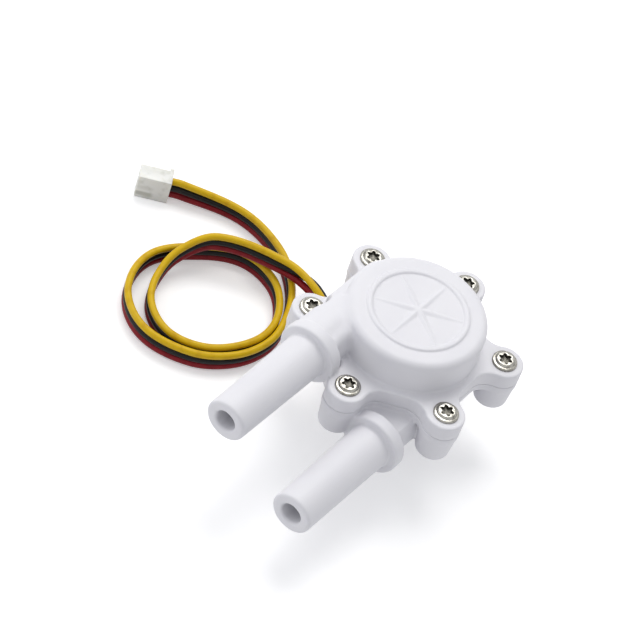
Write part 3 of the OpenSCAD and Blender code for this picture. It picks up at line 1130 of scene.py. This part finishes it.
    def shape_dome(self, mesh: bpy.types.Mesh) -> None:
        """Puts the ring, the star of ribs and the duct's sink mark into the cover.

        Args:
            mesh: The cover's mesh.
        """
        for vert in mesh.vertices:
            x, y, z = vert.co / MM
            in_reach = math.hypot(x, y) < self.ring_out + self.ring_margin
            if z > self.top_z - self.skin and in_reach:
                vert.co.z = (self.top_z + self.relief_at(x, y)) * MM
            off = math.hypot(x - self.mark_at[0], y - self.mark_at[1]) / self.mark_r
            if off < 1 and z > self.blend_z[0]:
                vert.co.z -= self.mark_depth * (1 - off * off) ** 2 * MM

    def moulding(self, node: str, shaping: Callable[[bpy.types.Mesh], None] | None) -> None:
        """Makes one moulding and puts it in its CAD node's place.

        Args:
            node: The CAD node.
            shaping: The last change of its dense mesh. Only the cover has one, and only the
                cover has a crease to fill before it.
        """
        mesh = self.soft_copy(node)
        if shaping:
            mesh = self.blend_duct(mesh)
            shaping(mesh)
        mesh = self.lighter(f"{node}_moulding", mesh)
        piece = self.shop.place_mesh(f"{node}_moulding", mesh, HOUSING_PLASTIC, Body.HOUSING, 180)
        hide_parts(node)

    def build(self) -> None:
        """Makes both mouldings and dresses the seal between them."""
        self.moulding("cover", self.shape_dome)
        self.moulding("body", None)
        self.shop.dress("seal_ring", SEAL_RUBBER)


@dataclass
class CoverScrews:
    """Six pan-head screws with a six-lobed recess."""

    shop: Workshop
    ring_r: float = 16.8
    first: float = 30.0
    count: int = 6
    seat_z: float = 19.15
    head_r: float = 2.2
    head_h: float = 0.85
    shank_r: float = 1.5
    shank_l: float = 7.2
    lobe_r: float = 0.98
    lobe_wave: float = 0.2
    recess_d: float = 0.7
    # Radius of the recess's deepest ring, its depth below the floor, and the rim's chamfer
    centre_r: float = 0.3
    centre_d: float = 0.12
    rim: float = 0.06
    sides: int = 72
    # How far each recess is turned, as screws stop where they stop
    turns: tuple[float, ...] = (12.0, 41.0, 5.0, 27.0, 50.0, 18.0)

    def ring(
        self, shape: bmesh.types.BMesh, edges: list, radius: Callable[[float], float], z: float
    ) -> list:
        """Extrudes the last ring of edges to a new ring.

        Args:
            shape: The screw.
            edges: The last ring's edges.
            radius: The new ring's radius at each angle, in millimetres.
            z: The new ring's height, in millimetres.

        Returns:
            The new ring's edges.
        """
        grown = bmesh.ops.extrude_edge_only(shape, edges=edges)["geom"]
        for vert in (g for g in grown if isinstance(g, bmesh.types.BMVert)):
            angle = math.atan2(vert.co.y, vert.co.x)
            reach = radius(angle) * MM
            vert.co = Vector((reach * math.cos(angle), reach * math.sin(angle), z * MM))
        return [g for g in grown if isinstance(g, bmesh.types.BMEdge)]

    def lobes(self, angle: float, share: float = 1.0) -> float:
        """Gives the recess's radius at an angle.

        Args:
            angle: The angle, in radians.
            share: Size of the outline.

        Returns:
            The radius, in millimetres.
        """
        return share * (self.lobe_r + self.lobe_wave * math.cos(6 * angle))

    def screw(self) -> bmesh.types.BMesh:
        """Makes one screw with its head's seat at z = 0.

        Returns:
            The screw, in metres.
        """
        shape = bmesh.new()
        bmesh.ops.create_circle(shape, segments=self.sides, radius=self.centre_r * MM)
        depth = shape.verts.layers.float.new("recess")
        floor_z = self.head_h - self.recess_d
        for vert in shape.verts:
            vert.co.z = (floor_z - self.centre_d) * MM
        edges = shape.edges[:]
        cap = bmesh.ops.contextual_create(shape, geom=edges)["faces"]
        bmesh.ops.poke(shape, faces=cap)
        walls = ((0.9, floor_z), (0.97, floor_z + self.rim), (1.0, self.head_h - 0.1))
        for share, z in walls:
            edges = self.ring(shape, edges, lambda a, s=share: self.lobes(a, s), z)
        inside = shape.verts[:]
        # Radius and height from the recess's rim over the crown to the shank's tip
        profile = (
            (None, self.head_h - 0.02), (1.34, self.head_h), (1.46, self.head_h - 0.02),
            (1.57, self.head_h - 0.09), (1.65, self.head_h - 0.21), (1.7, 0.49), (1.74, 0.43),
            (1.8, 0.41), (1.95, 0.41), (2.08, 0.38), (2.16, 0.31), (self.head_r, 0.2),
            (self.head_r, 0.0), (self.shank_r + 0.12, 0.0), (self.shank_r, -0.12),
            (self.shank_r, -self.shank_l + 0.5), (self.shank_r - 0.35, -self.shank_l),
        )
        for reach, z in profile:
            if reach is None:
                edges = self.ring(shape, edges, lambda a: self.lobes(a) + self.rim, z)
            else:
                edges = self.ring(shape, edges, lambda _, r=reach: r, z)
        end = bmesh.ops.contextual_create(shape, geom=edges)["faces"]
        bmesh.ops.poke(shape, faces=end)
        bmesh.ops.recalc_face_normals(shape, faces=shape.faces[:])
        for vert in shape.verts:
            vert[depth] = 0.0
        # The recess's points carry 1, which the material turns into painted shade.
        for vert in inside:
            vert[depth] = 1.0
        return shape

    def build(self) -> None:
        """Copies the screw to its six places."""
        every = bmesh.new()
        every.verts.layers.float.new("recess")
        one = self.screw()
        for index in range(self.count):
            angle = math.radians(self.first + index * 360.0 / self.count)
            across, along = self.ring_r * math.cos(angle), self.ring_r * math.sin(angle)
            spot = Vector((across, along, self.seat_z))
            copy = one.copy()
            turn = Matrix.Rotation(math.radians(self.turns[index]), 4, "Z")
            bmesh.ops.transform(
                copy, matrix=Matrix.Translation(spot * MM) @ turn, verts=copy.verts[:]
            )
            single = bpy.data.meshes.new("screw")
            copy.to_mesh(single)
            copy.free()
            every.from_mesh(single)
            bpy.data.meshes.remove(single)
        one.free()
        piece = self.shop.place("screw_set", every, ScrewSteel(), Body.HOUSING, 32.0)
        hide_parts("cover_screws")


@dataclass
class RotorGroup:
    """Rotor, ring magnet, shaft and thrust washers, which the housing hides."""

    shop: Workshop

    def build(self) -> None:
        """Dresses the rotor's pieces."""
        self.shop.dress_all(
            {
                "impeller": ROTOR_PLASTIC,
                "ring_magnet": MAGNET_FERRITE,
                "shaft": SHAFT_STEEL,
                "lower_thrust_washer": WASHER_PLASTIC,
                "upper_thrust_washer": WASHER_PLASTIC,
            }
        )


@dataclass
class SensorPocket:
    """Sensor board with its small parts, and the resin poured over them."""

    shop: Workshop

    def build(self) -> None:
        """Dresses the pocket's pieces."""
        self.shop.dress_all(
            {
                "sensor_board": BoardLaminate(),
                "hall_chip": CHIP_EPOXY,
                "hall_chip_legs": TIN_PLATE,
                "filter_capacitor": CERAMIC,
                "pull_up_resistor": CHIP_EPOXY,
                "wire_tails": COPPER,
                "solder_joints": TIN_PLATE,
                "potting": PottingResin(),
            }
        )


def main() -> None:
    """Builds the studio and each sub-assembly."""
    logging.basicConfig(level=logging.INFO, format="%(name)s: %(message)s")
    shop = Workshop()
    Studio().build()
    Lead(shop).build()
    Housing(shop).build()
    CoverScrews(shop).build()
    RotorGroup(shop).build()
    SensorPocket(shop).build()


if __name__ == "__main__":
    main()
